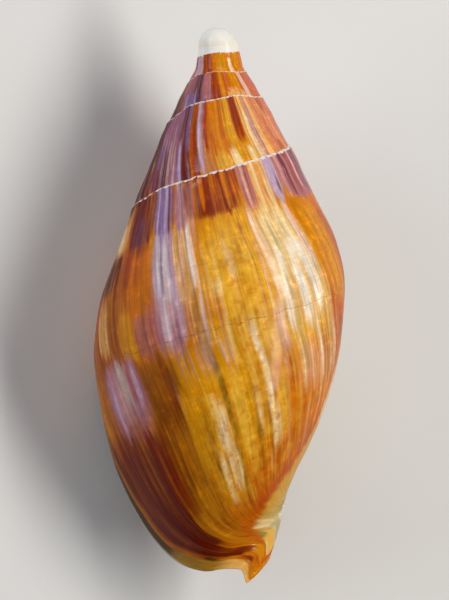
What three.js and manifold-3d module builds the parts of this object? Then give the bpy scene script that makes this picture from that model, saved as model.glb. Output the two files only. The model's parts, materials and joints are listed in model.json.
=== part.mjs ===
// A volute shell: a right-handed spindle-shaped seashell, hollow from its aperture inward.
// Millimetres. It lies on its aperture, with the back of the body whorl up and the apex towards +Y.
//
// The shell is worked out upright first. Depth runs down the coiling axis from the growth origin,
// and turn counts whorls: 0 is the left of the back view, -0.25 the middle of the back, -0.5 the
// right and -0.75 the aperture side. Each whorl repeats one outline, which grows with turn.

import * as THREE from 'three';
import { mergeVertices } from 'three/addons/utils/BufferGeometryUtils.js';
import Module from 'manifold-3d';

// Growth of one whorl to the next, as exponents per turn
const DEPTH_GROWTH = 0.476;
const GIRTH_GROWTH = 0.377;
const SUTURE_GROWTH = 0.655;
const WALL_GROWTH = 0.4;

// Whole shell
const SHELL_LENGTH = 120;
const ORIGIN_BELOW_APEX = 2.62;
const AXIS_BOW = -4.13;
const APEX_SHIFT = -0.65;
const APEX_SHIFT_END = 3;

// Outline of the last whorl at turn 0, as depth and radius
const OUTLINE = [
  [12, 9], [20, 11.7], [30, 17.3], [46, 24.4], [57, 28.7], [67, 30.2], [78, 29.15], [88.5, 27.3],
  [101.4, 22.9], [110, 18.5], [116.5, 14.6], [122.3, 11.7], [127, 10.2], [133, 7.9], [138, 4.9],
  [143, 2.6], [148.7, 0.3],
];
const OUTLINE_END = 148.7;

// Suture, where a whorl is laid on the one before
const SUTURE_DEPTH = 33.2;
const LEDGE_HEIGHT = 0.35;
const LEDGE_SOFTNESS = 0.3;
const SUTURE_OVERLAP = 0.7;
const LEDGE_CHAMFER = 0.5;

// Growth line, as share of the way from suture to tip and degrees of lag behind the suture point
const GROWTH_LINE = [
  [0, 0], [0.15, 8.5], [0.34, 23.5], [0.5, 35], [0.63, 41.5], [0.69, 51], [0.75, 76], [0.78, 99],
  [0.82, 119], [0.858, 127], [0.867, 148], [0.875, 170], [0.89, 195], [0.92, 235], [1, 300],
];

// Wall and lip
const WALL = 1.7;
const LEAST_WALL_SHARE = 0.4;
const CORE_RADIUS = 0.3;
const SLOPE_SPAN = 1;
const LIP_TURN = 40 / 360;
const LIP_TOLERANCE = 1e-6;
const LIP_THINNING_TURNS = 0.08;
const LIP_WALL_SHARE = 0.72;
const LIP_ROUNDING = 0.35;
const LIP_FLARE = 0.35;
const LIP_FLARE_TURNS = 0.3;
const LIP_FLARE_TOP = 0.3;
const LIP_FLARE_REACH = 0.45;

// How far back from the lip the late whorls, the hollow and the solid tip of the spire reach, in turns
const LATE_TURNS = 1.3;
const HOLLOW_TURNS = 2.7;
const SPIRE_TURNS = 4.4;

// Columella, the pillar round the axis, as depth and radius
const PILLAR = [[8, 0], [8, 2.4], [84, 2.4], [95, 2], [101, 1.2], [103.5, 0.5], [103.5, 0]];
const PILLAR_SIDES = 12;

// Columellar plaits, the oblique folds inside the aperture
const PLAIT_DEPTHS = [99, 107.5, 116, 124];
const PLAIT_RADIUS = 0.8;
const PLAIT_START = -1.4;
const PLAIT_END = -0.76;
const PLAIT_SINK = 0.15;
const PLAIT_END_SINK = 1;
const PLAIT_FADE = 0.7;
const PLAIT_STEPS = 12;
const PLAIT_ARC_SEGMENTS = 4;

// Protoconch, the smooth white dome at the apex, and its foot inside the spire, as depth and radius
const DOME = [
  [-2.62, 0], [-2.4, 1.25], [-1.95, 2.25], [-1.2, 3.1], [-0.2, 3.75], [1, 4.15], [2.5, 4.35],
  [4.5, 4.75], [7, 5.1],
];
const DOME_BASE = [12, 5.2];
const DOME_SIDES = 20;

// Fineness of the facets: steps round a turn, and rows as shares of the way from suture to tip
const STEPS_PER_TURN = 30;
const LATE_ROWS = [
  0, 0.03, 0.09, 0.16, 0.23, 0.31, 0.39, 0.47, 0.54, 0.61, 0.67, 0.72, 0.75, 0.78, 0.82, 0.84,
  0.858, 0.867, 0.9, 0.95, 1,
];
const EARLY_ROWS = [0, 0.03, 0.09, 0.16, 0.23, 0.31, 0.45, 0.6, 0.75, 0.88, 1];
const MARGIN_STEP = 0.25;
const LEAST_STEP = 0.35;
const SEGMENT_STEPS = 9;
const FLATNESS = 0.03;
const WELD = 1e-3;

// Attitude on a level surface: the shell rolls onto its aperture, then its apex lifts, in degrees
const ROLL = -19.26;
const PITCH = 4.48;

const wasm = await Module();
wasm.setup();

// A smooth curve through [x, y] points that never overshoots them
function smoothCurve(points) {
  const last = points.length - 1;
  const rise = (i) => (points[i + 1][1] - points[i][1]) / (points[i + 1][0] - points[i][0]);
  const slope = (i) => {
    if (i === 0) return rise(0);
    if (i === last) return rise(last - 1);
    const before = rise(i - 1);
    const after = rise(i);
    return before * after <= 0 ? 0 : (2 * before * after) / (before + after);
  };
  const slopes = points.map((point, i) => slope(i));
  return (x) => {
    let i = 0;
    while (i < last - 1 && x > points[i + 1][0]) i += 1;
    const span = points[i + 1][0] - points[i][0];
    const t = THREE.MathUtils.clamp((x - points[i][0]) / span, 0, 1);
    const rest = 1 - t;
    return points[i][1] * rest * rest * (1 + 2 * t) + points[i + 1][1] * t * t * (1 + 2 * rest)
      + slopes[i] * span * t * rest * rest - slopes[i + 1] * span * t * t * rest;
  };
}

const outline = smoothCurve(OUTLINE);
const dome = smoothCurve([...DOME, DOME_BASE]);
const lagDegrees = smoothCurve(GROWTH_LINE);

function sutureDepth(turn) {
  return SUTURE_DEPTH * Math.exp(SUTURE_GROWTH * turn);
}

function plainRadius(turn, depth) {
  return Math.exp(GIRTH_GROWTH * turn) * outline(depth * Math.exp(-DEPTH_GROWTH * turn));
}

function domeRadius(depth) {
  return depth > DOME_BASE[0] ? 0 : dome(depth);
}

// The radius of what a whorl is laid on: the whorl before it, or the protoconch
function bedRadius(turn, depth) {
  return Math.max(plainRadius(turn - 1, depth), domeRadius(depth));
}

// The radius of a whorl's outside, which always lies a small ledge above its bed
function whorlRadius(turn, depth) {
  const size = Math.exp(WALL_GROWTH * turn);
  const own = plainRadius(turn, depth);
  const bed = bedRadius(turn, depth) + LEDGE_HEIGHT * size;
  return (own + bed + Math.hypot(own - bed, LEDGE_SOFTNESS * size)) / 2;
}

// A point of the shell, with the slight bow of its axis
function place(turn, depth, radius) {
  const angle = 2 * Math.PI * turn;
  const across = -radius * Math.cos(angle);
  const along = (depth + ORIGIN_BELOW_APEX) / SHELL_LENGTH;
  const shift = APEX_SHIFT * (1 - THREE.MathUtils.smoothstep(depth, -ORIGIN_BELOW_APEX, APEX_SHIFT_END));
  const bow = AXIS_BOW * along * (1 - along) + shift;
  const lean = (AXIS_BOW * (1 - 2 * along)) / SHELL_LENGTH;
  return new THREE.Vector3(across + bow, across * lean - depth, -radius * Math.sin(angle));
}

// The stage of growth at which a spot was laid down, as the turn of its growth line's suture end
function stageOf(turn, share) {
  return turn + lagDegrees(share) / 360;
}

function depthAt(turn, share) {
  const first = sutureDepth(turn) * Math.exp(-DEPTH_GROWTH * turn);
  return THREE.MathUtils.lerp(first, OUTLINE_END, share) * Math.exp(DEPTH_GROWTH * turn);
}

// The outer lip is a little flared towards its margin, over its lower half
function flare(stage, share) {
  const near = THREE.MathUtils.smoothstep(stage, LIP_TURN - LIP_FLARE_TURNS, LIP_TURN);
  const low = Math.sin(Math.PI * THREE.MathUtils.clamp((share - LIP_FLARE_TOP) / LIP_FLARE_REACH, 0, 1));
  return LIP_FLARE * near * near * low;
}

function wallThickness(stage, turn) {
  const thin = THREE.MathUtils.smoothstep(stage, LIP_TURN - LIP_THINNING_TURNS, LIP_TURN);
  return WALL * Math.exp(WALL_GROWTH * Math.min(turn, 0)) * (1 - (1 - LIP_WALL_SHARE) * thin);
}

// The outer and inner edges of the wall at one spot, as depth and radius, rounded at the lip
function wallSection(turn, share, hollow) {
  const stage = stageOf(turn, share);
  const depth = depthAt(turn, share);
  const radius = whorlRadius(turn, depth) + flare(stage, share);
  const rise = whorlRadius(turn, depth + SLOPE_SPAN / 2) - whorlRadius(turn, depth - SLOPE_SPAN / 2);
  const slope = rise / SLOPE_SPAN;
  const inward = { depth: slope / Math.hypot(1, slope), radius: -1 / Math.hypot(1, slope) };
  const rounding = stage > LIP_TURN - LIP_TOLERANCE ? LIP_ROUNDING : 0;
  const thickness = wallThickness(stage, turn) - rounding;
  const outer = { depth: depth + rounding * inward.depth, radius: radius + rounding * inward.radius };
  if (!hollow) return { outer, inner: { depth, radius: CORE_RADIUS } };
  const inner = {
    depth: depth + thickness * inward.depth,
    radius: Math.max(radius + thickness * inward.radius, radius * LEAST_WALL_SHARE),
  };
  return { outer, inner };
}

// The edge of the wall that is buried in its bed, above the suture
function buriedSection(turn, hollow) {
  const size = Math.exp(WALL_GROWTH * Math.min(turn, 0));
  const depth = sutureDepth(turn);
  const radius = Math.max(bedRadius(turn, depth) - SUTURE_OVERLAP * size, CORE_RADIUS * 2);
  const outer = { depth: depth - LEDGE_CHAMFER * size, radius };
  const inner = { depth: depth + LEDGE_CHAMFER * size, radius: hollow ? radius : CORE_RADIUS };
  return { outer, inner };
}

function solidOf(geometry) {
  geometry.deleteAttribute('normal');
  geometry.deleteAttribute('uv');
  const merged = mergeVertices(geometry, WELD);
  return new wasm.Manifold(new wasm.Mesh({
    numProp: 3,
    vertProperties: new Float32Array(merged.attributes.position.array),
    triVerts: new Uint32Array(merged.index.array),
  }));
}

// The places along a row, in steps back from the lip's suture end. A row that starts at the lip
// starts where the growth line of the lip crosses it.
function rowSteps(share, firstStep, lastStep) {
  const steps = [];
  let next = firstStep;
  if (firstStep === 0) {
    const lip = (lagDegrees(share) / 360) * STEPS_PER_TURN;
    steps.push(lip, lip + MARGIN_STEP);
    next = Math.ceil(lip + MARGIN_STEP + LEAST_STEP);
  }
  for (let step = next; step <= lastStep; step += 1) steps.push(step);
  return steps;
}

// The triangles between two rows, taking the next place along whichever row is behind
function stripTriangles(upper, lower) {
  const triangles = [];
  let i = 0;
  let j = 0;
  while (i < upper.length - 1 || j < lower.length - 1) {
    const useUpper = j === lower.length - 1
      || (i < upper.length - 1 && upper[i + 1].step <= lower[j + 1].step);
    if (useUpper) {
      triangles.push([upper[i], lower[j], upper[i + 1]]);
      i += 1;
    } else {
      triangles.push([upper[i], lower[j], lower[j + 1]]);
      j += 1;
    }
  }
  return triangles;
}

// One stretch of the wall, closed all round
function wallSegment(firstStep, lastStep, rowShares, hollow) {
  const positions = [];
  const indices = [];
  const addNode = (step, section, turn) => {
    positions.push(...place(turn, section.outer.depth, section.outer.radius).toArray());
    positions.push(...place(turn, section.inner.depth, section.inner.radius).toArray());
    return { step, outer: positions.length / 3 - 2, inner: positions.length / 3 - 1 };
  };
  const turnAt = (step) => LIP_TURN - step / STEPS_PER_TURN;
  const buried = rowSteps(0, firstStep, lastStep)
    .map((step) => addNode(step, buriedSection(turnAt(step), hollow), turnAt(step)));
  const rows = [buried, ...rowShares.map((share) => rowSteps(share, firstStep, lastStep)
    .map((step) => addNode(step, wallSection(turnAt(step), share, hollow), turnAt(step))))];
  const quad = (a, b, c, d) => indices.push(a, c, b, a, d, c);
  for (let row = 0; row < rows.length - 1; row += 1) {
    const upper = rows[row];
    const lower = rows[row + 1];
    for (const [a, b, c] of stripTriangles(upper, lower)) {
      indices.push(a.outer, b.outer, c.outer, a.inner, c.inner, b.inner);
    }
    quad(upper[0].outer, lower[0].outer, lower[0].inner, upper[0].inner);
    quad(upper.at(-1).outer, upper.at(-1).inner, lower.at(-1).inner, lower.at(-1).outer);
  }
  const top = rows[0];
  const bottom = rows.at(-1);
  for (let i = 0; i < top.length - 1; i += 1) {
    quad(top[i + 1].outer, top[i].outer, top[i].inner, top[i + 1].inner);
  }
  for (let i = 0; i < bottom.length - 1; i += 1) {
    quad(bottom[i].outer, bottom[i + 1].outer, bottom[i + 1].inner, bottom[i].inner);
  }
  const geometry = new THREE.BufferGeometry();
  geometry.setAttribute('position', new THREE.Float32BufferAttribute(positions, 3));
  geometry.setIndex(indices);
  return solidOf(geometry);
}

function wall(stretches, rowShares, hollow) {
  return stretches.slice(1).map((end, i) => wallSegment(stretches[i], end, rowShares, hollow));
}

// Ends of the stretches between two steps, none long enough to reach round to itself
function stretchEnds(firstStep, lastStep) {
  const ends = [];
  for (let step = firstStep; step < lastStep; step += SEGMENT_STEPS) ends.push(step);
  return [...ends, lastStep];
}

// A round piece on the coiling axis, from its depths and radii
function turned(profile, sides) {
  const points = profile.map(([depth, radius]) => new THREE.Vector2(radius, -depth)).reverse();
  const geometry = new THREE.LatheGeometry(points, sides);
  const position = geometry.attributes.position;
  for (let i = 0; i < position.count; i += 1) {
    const spot = new THREE.Vector3().fromBufferAttribute(position, i);
    const bowed = place(0.5, -spot.y, 0);
    position.setXYZ(i, spot.x + bowed.x, spot.y, spot.z);
  }
  return solidOf(geometry);
}

function pillar() {
  return turned(PILLAR, PILLAR_SIDES);
}

function protoconch() {
  return turned([...DOME, DOME_BASE, [DOME_BASE[0], 0]], DOME_SIDES);
}

function plait(outlineDepth) {
  const path = [];
  for (let i = 0; i <= PLAIT_STEPS; i += 1) {
    const share = i / PLAIT_STEPS;
    const turn = THREE.MathUtils.lerp(PLAIT_START, PLAIT_END, share);
    const depth = outlineDepth * Math.exp(DEPTH_GROWTH * turn);
    const fade = THREE.MathUtils.smoothstep(share, PLAIT_FADE, 1);
    const sink = THREE.MathUtils.lerp(PLAIT_SINK, PLAIT_END_SINK, fade);
    path.push(place(turn, depth, plainRadius(turn, depth) - sink));
  }
  const section = new THREE.Shape();
  section.absarc(0, 0, PLAIT_RADIUS, 0, 2 * Math.PI);
  return solidOf(new THREE.ExtrudeGeometry(section, {
    steps: PLAIT_STEPS,
    curveSegments: PLAIT_ARC_SEGMENTS,
    extrudePath: new THREE.CatmullRomCurve3(path),
    bevelEnabled: false,
  }));
}

function geometryOf(solid) {
  const mesh = solid.getMesh();
  const geometry = new THREE.BufferGeometry();
  geometry.setAttribute('position', new THREE.Float32BufferAttribute(mesh.vertProperties, 3));
  geometry.setIndex(Array.from(mesh.triVerts));
  return geometry;
}

// The shell without the pockets that are closed in between its whorls, which become solid
function withoutPockets(solid) {
  const bodies = solidOf(geometryOf(solid)).decompose();
  return bodies.sort((one, other) => other.volume() - one.volume())[0];
}

function shellGeometry() {
  const lipEnd = Math.ceil((lagDegrees(1) / 360) * STEPS_PER_TURN) + 1;
  const lateEnd = Math.round(LATE_TURNS * STEPS_PER_TURN);
  const hollowEnd = Math.round(HOLLOW_TURNS * STEPS_PER_TURN);
  const spireEnd = Math.round(SPIRE_TURNS * STEPS_PER_TURN);
  const pieces = [
    ...wall([0, ...stretchEnds(lipEnd, lateEnd)], LATE_ROWS, true),
    ...wall(stretchEnds(lateEnd - 1, hollowEnd), EARLY_ROWS, true),
    ...wall(stretchEnds(hollowEnd - 1, spireEnd), EARLY_ROWS, false),
    pillar(),
    protoconch(),
    ...PLAIT_DEPTHS.map(plait),
  ];
  const joined = wasm.Manifold.union(pieces).simplify(FLATNESS);
  const geometry = geometryOf(withoutPockets(joined));
  geometry.computeVertexNormals();
  return geometry;
}

function voluteShell() {
  const material = new THREE.MeshStandardMaterial({ color: 0xb8742a, roughness: 0.3, metalness: 0 });
  const shell = new THREE.Mesh(shellGeometry(), material);
  shell.name = 'volute_shell';
  shell.rotation.set(THREE.MathUtils.degToRad(PITCH), THREE.MathUtils.degToRad(ROLL), 0, 'XYZ');
  const box = new THREE.Box3().setFromObject(shell, true);
  const middle = box.getCenter(new THREE.Vector3());
  shell.position.set(-middle.x, -middle.y, -box.min.z);
  return shell;
}

const object = new THREE.Group();
object.add(voluteShell());
export default object;
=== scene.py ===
# A volute shell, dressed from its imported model: fine wall, growth relief, painted markings, gloss.
# Lengths below are millimetres in the upright shell's own frame until the last step, which lays the
# shell down as modelled and turns it into metres. Stage counts whorls along the growth of the shell,
# and share runs down a growth line from the suture, 0, to the tip of the canal, 1.

import json
import math

import bmesh
import bpy
import numpy as np
from mathutils import Matrix, Vector

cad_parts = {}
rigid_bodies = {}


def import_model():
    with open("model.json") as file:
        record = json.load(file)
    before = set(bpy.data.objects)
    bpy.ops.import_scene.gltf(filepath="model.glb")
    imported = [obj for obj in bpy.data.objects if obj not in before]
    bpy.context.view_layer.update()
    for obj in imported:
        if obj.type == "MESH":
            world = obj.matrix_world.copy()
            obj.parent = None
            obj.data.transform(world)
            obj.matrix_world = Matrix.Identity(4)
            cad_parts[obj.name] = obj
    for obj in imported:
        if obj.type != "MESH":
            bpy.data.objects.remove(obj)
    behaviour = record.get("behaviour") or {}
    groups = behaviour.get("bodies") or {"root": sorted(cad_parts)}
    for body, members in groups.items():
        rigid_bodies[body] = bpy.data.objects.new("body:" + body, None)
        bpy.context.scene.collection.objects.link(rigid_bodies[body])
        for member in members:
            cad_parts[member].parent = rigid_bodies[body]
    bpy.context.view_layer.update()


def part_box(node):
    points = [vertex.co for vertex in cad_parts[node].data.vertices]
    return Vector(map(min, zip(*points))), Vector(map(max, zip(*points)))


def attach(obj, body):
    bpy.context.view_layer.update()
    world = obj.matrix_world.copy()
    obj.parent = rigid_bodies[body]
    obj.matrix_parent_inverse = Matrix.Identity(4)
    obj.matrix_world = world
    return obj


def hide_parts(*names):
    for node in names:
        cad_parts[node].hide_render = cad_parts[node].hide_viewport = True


# Growth of one whorl to the next, as exponents per turn
DEPTH_GROWTH = 0.476
GIRTH_GROWTH = 0.377
SUTURE_GROWTH = 0.655
WALL_GROWTH = 0.4

# Whole shell
SHELL_LENGTH = 120
ORIGIN_BELOW_APEX = 2.62
AXIS_BOW = -4.13
APEX_SHIFT = -0.65
APEX_SHIFT_END = 3

# Outline of the last whorl at turn 0, as depth and radius
OUTLINE = [
    (12, 9), (20, 11.7), (30, 17.3), (46, 24.4), (57, 28.7), (67, 30.2), (78, 29.15), (88.5, 27.3),
    (101.4, 22.9), (110, 18.5), (116.5, 14.6), (122.3, 11.7), (127, 10.2), (133, 7.9), (138, 4.9),
    (143, 2.6), (148.7, 0.3),
]
OUTLINE_END = 148.7

# Suture, where a whorl is laid on the one before
SUTURE_DEPTH = 33.2
SUTURE_WAVE = [  # the suture's depth as a share of its even growth, which the spire's whorls don't keep
    (-3.5, 0.8), (-3.44, 0.81), (-3.32, 0.8), (-3.25, 0.745), (-3.18, 0.76), (-3.1, 0.8), (-3.03, 0.83),
    (-2.9, 0.95), (-2.7, 1.06), (-2.55, 1.1), (-2.44, 1.08), (-2.36, 1.035), (-2.28, 0.965), (-2.2, 0.91),
    (-2.12, 0.912), (-2.07, 0.975), (-1.98, 1.03), (-1.8, 1.05), (-1.6, 1.04), (-1.5, 1.02), (-1.42, 0.985),
    (-1.36, 0.925), (-1.3, 0.888), (-1.2, 0.89), (-1.14, 0.9), (-1.1, 0.955), (-1.06, 1.01), (-1, 1.03),
    (-0.8, 1.02), (-0.6, 0.985), (-0.45, 0.98), (-0.32, 0.99), (-0.26, 1.012), (-0.18, 1.025),
    (-0.12, 1.042), (-0.06, 1.066), (0, 1.085), (0.12, 1.1),
]
LEDGE_HEIGHT = 0.35
LEDGE_SOFTNESS = 0.3
SUTURE_WAVE_REACH = 0.12
SCALLOPS_PER_TURN = 62
SCALLOP = 0.006
SCALLOP_SEED = 21
SUTURE_OVERLAP = 0.7
LEDGE_CHAMFER = 0.5
BURIED_SHARE = -0.005

# Growth line, as share and degrees of lag behind the suture point
GROWTH_LINE = [
    (0, 0), (0.15, 8.5), (0.34, 23.5), (0.5, 35), (0.63, 41.5), (0.69, 51), (0.75, 76), (0.78, 99),
    (0.82, 118.8), (0.838, 119.6), (0.846, 121.5), (0.8515, 128), (0.857, 138), (0.862, 149), (0.868, 160),
    (0.875, 170), (0.89, 195), (0.92, 235), (1, 300),
]

LIP_STAGE = 40 / 360  # where the growth ended

# How far the coloured growth lines run ahead of that line, as share and turns, and how strongly at
# each growth
GROWTH_DRIFT = [
    (0, 0), (0.1, -0.0005), (0.18, -0.001), (0.2, 0), (0.25, 0.006), (0.3, 0.0125), (0.35, 0.0175),
    (0.45, 0.0235), (0.55, 0.028), (0.62, 0.031), (0.66, 0.038), (0.70, 0.052), (0.74, 0.068), (0.82, 0.08),
    (1, 0.08),
]
DRIFT_STRENGTH = [
    (-0.6, 0.25), (-0.45, 0.4), (-0.34, 0.6), (-0.25, 0.9), (-0.15, 1.05), (-0.08, 0.8), (0, 0.35),
    (LIP_STAGE, 0),
]

# Wall and lip
WALL = 1.7
LEAST_WALL_SHARE = 0.4
CORE_RADIUS = 0.3
SLOPE_SPAN = 1
LIP_THINNING_TURNS = 0.08
LIP_WALL_SHARE = 0.72
LIP_ROUNDING_TURNS = 0.004
LIP_EDGE_SHARE = 0.12
LIP_FLARE = 0.35
LIP_FLARE_TURNS = 0.3
LIP_FLARE_TOP = 0.3
LIP_FLARE_REACH = 0.45

# Columella and its plaits
PILLAR = [(8, 0), (8, 2.4), (84, 2.4), (95, 2), (101, 1.2), (103.5, 0.5), (103.5, 0)]
PILLAR_SIDES = 32
PLAIT_DEPTHS = (99, 107.5, 116, 124)
PLAIT_RADIUS = 0.8
PLAIT_START = -1.4
PLAIT_END = -0.76
PLAIT_SINK = 0.15
PLAIT_END_SINK = 1
PLAIT_FADE = 0.7
PLAIT_STEPS = 60
PLAIT_SIDES = 16

# Protoconch, the white dome at the apex, as depth and radius
DOME = [
    (-2.62, 0), (-2.4, 1.25), (-1.95, 2.25), (-1.2, 3.1), (-0.2, 3.75), (1, 4.15), (2.5, 4.35),
    (4.5, 4.75), (7, 5.1), (12, 5.2),
]
DOME_SIDES = 72

# Attitude on a level surface, in degrees
ROLL = -19.26
PITCH = 4.48

# Fineness: the inside of the wall has one column for so many of the outside
INNER_EVERY = 4
STRETCH_TURNS = 0.24
WELD = 1e-4
SHARP_ANGLE = math.radians(50)

MM = 0.001


# Curves and noise

def smooth_curve(points):
    x, y = np.array(points, float).T
    rise = np.diff(y) / np.diff(x)
    slope = np.zeros(len(x))
    slope[0], slope[-1] = rise[0], rise[-1]
    same_way = rise[:-1] * rise[1:] > 0
    total = np.where(same_way, rise[:-1] + rise[1:], 1)
    slope[1:-1] = np.where(same_way, 2 * rise[:-1] * rise[1:] / total, 0)

    def value(at):
        at = np.asarray(at, float)
        i = np.clip(np.searchsorted(x, at, side="left") - 1, 0, len(x) - 2)
        span = x[i + 1] - x[i]
        t = np.clip((at - x[i]) / span, 0, 1)
        r = 1 - t
        ends = y[i] * r * r * (1 + 2 * t) + y[i + 1] * t * t * (1 + 2 * r)
        return ends + slope[i] * span * t * r * r - slope[i + 1] * span * t * t * r

    return value


def smoothstep(at, low, high):
    t = np.clip((at - low) / (high - low), 0, 1)
    return t * t * (3 - 2 * t)


def smooth_noise(seed, u, v=0.0):
    """Value noise in two directions, from -1 to 1, with one lattice cell a unit."""
    u, v = np.broadcast_arrays(np.asarray(u, float), np.asarray(v, float))
    cells = 256
    lattice = np.random.default_rng(seed).uniform(-1, 1, (cells, cells))
    iu, iv = np.floor(u).astype(int), np.floor(v).astype(int)
    fu, fv = u - iu, v - iv
    fu, fv = fu * fu * (3 - 2 * fu), fv * fv * (3 - 2 * fv)
    near = lattice[iu % cells, iv % cells] * (1 - fv) + lattice[iu % cells, (iv + 1) % cells] * fv
    far = lattice[(iu + 1) % cells, iv % cells] * (1 - fv)
    far = far + lattice[(iu + 1) % cells, (iv + 1) % cells] * fv
    return near * (1 - fu) + far * fu


outline = smooth_curve(OUTLINE)
dome = smooth_curve(DOME)
lag_degrees = smooth_curve(GROWTH_LINE)
growth_drift = smooth_curve(GROWTH_DRIFT)
drift_strength = smooth_curve(DRIFT_STRENGTH)
even_wave = smooth_curve(SUTURE_WAVE)


# The form of the shell

def suture_wave(turn):
    scallops = smooth_noise(SCALLOP_SEED, np.asarray(turn) * SCALLOPS_PER_TURN)
    return even_wave(turn) + SCALLOP * scallops


def suture_depth(turn):
    return SUTURE_DEPTH * np.exp(SUTURE_GROWTH * turn) * suture_wave(turn)


def plain_radius(turn, depth):
    return np.exp(GIRTH_GROWTH * turn) * outline(depth * np.exp(-DEPTH_GROWTH * turn))


def bed_radius(turn, depth):
    return np.maximum(plain_radius(turn - 1, depth), np.where(depth > DOME[-1][0], 0, dome(depth)))


def whorl_radius(turn, depth):
    size = np.exp(WALL_GROWTH * turn)
    own = plain_radius(turn, depth)
    bed = bed_radius(turn, depth) + LEDGE_HEIGHT * size
    return (own + bed + np.hypot(own - bed, LEDGE_SOFTNESS * size)) / 2


def place(turn, depth, radius):
    angle = 2 * np.pi * turn
    across = -radius * np.cos(angle)
    along = (depth + ORIGIN_BELOW_APEX) / SHELL_LENGTH
    shift = APEX_SHIFT * (1 - smoothstep(depth, -ORIGIN_BELOW_APEX, APEX_SHIFT_END))
    bow = AXIS_BOW * along * (1 - along) + shift
    lean = AXIS_BOW * (1 - 2 * along) / SHELL_LENGTH
    return np.stack([across + bow, across * lean - depth, -radius * np.sin(angle)], -1)


def even_share(turn, share):
    """The share at which a shell whose sutures grow evenly has the same spot."""
    first = SUTURE_DEPTH * np.exp((SUTURE_GROWTH - DEPTH_GROWTH) * turn)
    moved = first * (suture_wave(turn) - 1) * (1 - smoothstep(share, 0, SUTURE_WAVE_REACH))
    return share + moved / (OUTLINE_END - first)


def depth_at(turn, share):
    first = SUTURE_DEPTH * np.exp((SUTURE_GROWTH - DEPTH_GROWTH) * turn)
    return (first + (OUTLINE_END - first) * even_share(turn, share)) * np.exp(DEPTH_GROWTH * turn)


def stage_of(growth, share):
    """The stage, along the wall's own lines, of a spot on a coloured growth line."""
    return growth + growth_drift(share) * drift_strength(growth)


def flare(stage, share):
    near = smoothstep(stage, LIP_STAGE - LIP_FLARE_TURNS, LIP_STAGE)
    low = np.sin(np.pi * np.clip((share - LIP_FLARE_TOP) / LIP_FLARE_REACH, 0, 1))
    return LIP_FLARE * near * near * low


def wall_thickness(stage, turn):
    thin = smoothstep(stage, LIP_STAGE - LIP_THINNING_TURNS, LIP_STAGE)
    return WALL * np.exp(WALL_GROWTH * np.minimum(turn, 0)) * (1 - (1 - LIP_WALL_SHARE) * thin)


# Relief of the outside, in millimetres along its normal
UNDULATIONS = ((26, 0.07), (61, 0.045), (140, 0.02))  # waves a turn and height
RELIEF_SEED = 11
RELIEF_SINK = 0.12
EARLY_RELIEF = 0.3
GROWTH_MARKS = (  # stage, width in turns, height
    (0.062, 0.004, -0.10), (-0.012, 0.003, -0.08), (-0.118, 0.004, 0.06), (-0.166, 0.003, -0.07),
    (-0.262, 0.003, -0.06), (-0.345, 0.004, -0.09), (-0.430, 0.005, -0.08), (-0.61, 0.006, -0.12),
)
CRENULATIONS_PER_TURN = 96
CRENULATION = 0.16
PITS = ((-0.302, 0.112), (-0.291, 0.187))  # stage and share
PIT_TURNS = 0.003
PIT_SHARE = 0.004
PIT_DEPTH = 0.12


def relief(growth, share):
    size = np.exp(WALL_GROWTH * np.minimum(growth, 0))
    height = np.zeros(np.broadcast(growth, share).shape)
    for number, (waves, rise) in enumerate(UNDULATIONS):
        height = height + rise * smooth_noise(RELIEF_SEED + number, growth * waves, share * 3)
    for mark, width, rise in GROWTH_MARKS:
        height = height + rise * np.exp(-((growth - mark) / width) ** 2)
    height = height * smoothstep(share, 0, 0.03) * (1 - smoothstep(share, 0.86, 0.95))
    height = height * (EARLY_RELIEF + (1 - EARLY_RELIEF) * smoothstep(growth, -2.6, -1.1))
    beads = smooth_noise(RELIEF_SEED + 7, growth * CRENULATIONS_PER_TURN)
    height = height + CRENULATION * beads * (1 - smoothstep(share, 0.002, 0.02))
    for pit_growth, pit_share in PITS:
        away = ((growth - pit_growth) / PIT_TURNS) ** 2 + ((share - pit_share) / PIT_SHARE) ** 2
        height = height - PIT_DEPTH * np.exp(-away)
    return (height - RELIEF_SINK) * size


def wall_sections(growth, share, hollow):
    """The outer and inner edges of the wall, as points, for growths and shares of one shape."""
    stage = stage_of(growth, share)
    turn = stage - lag_degrees(share) / 360
    depth = depth_at(turn, share)
    radius = whorl_radius(turn, depth) + flare(stage, share)
    above = whorl_radius(turn, depth - SLOPE_SPAN / 2)
    below = whorl_radius(turn, depth + SLOPE_SPAN / 2)
    slope = (below - above) / SLOPE_SPAN
    length = np.hypot(1, slope)
    inward_depth, inward_radius = slope / length, -1 / length
    from_lip = np.clip((LIP_STAGE - growth) / LIP_ROUNDING_TURNS, 0, 1)
    fullness = LIP_EDGE_SHARE + (1 - LIP_EDGE_SHARE) * np.sqrt(1 - (1 - from_lip) ** 2)
    thickness = wall_thickness(growth, turn)
    inset = thickness * (1 - fullness) / 2
    raised = relief(growth, share) - inset
    outer = place(turn, depth - raised * inward_depth, radius - raised * inward_radius)
    if not hollow:
        return outer, place(turn, depth, np.full_like(radius, CORE_RADIUS)), turn, depth
    sunk = thickness - inset
    inner_radius = np.maximum(radius + sunk * inward_radius, radius * LEAST_WALL_SHARE)
    return outer, place(turn, depth + sunk * inward_depth, inner_radius), turn, depth


def buried_sections(growth, hollow):
    """The edge of the wall that is buried in its bed, above the suture."""
    size = np.exp(WALL_GROWTH * np.minimum(growth, 0))
    depth = suture_depth(growth)
    radius = np.maximum(bed_radius(growth, depth) - SUTURE_OVERLAP * size, CORE_RADIUS * 2)
    inner_radius = radius if hollow else np.full_like(radius, CORE_RADIUS)
    outer = place(growth, depth - LEDGE_CHAMFER * size, radius)
    return outer, place(growth, depth + LEDGE_CHAMFER * size, inner_radius)


# Meshes: each piece is its kind, points, triangles and a table of named values, one for each point

def wall_rows(single, *ranges):
    """Shares of the wall's rows, from single ones and from ranges with their steps."""
    return np.unique(np.round(np.concatenate([single, *(np.arange(*ends) for ends in ranges)]), 4))


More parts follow.
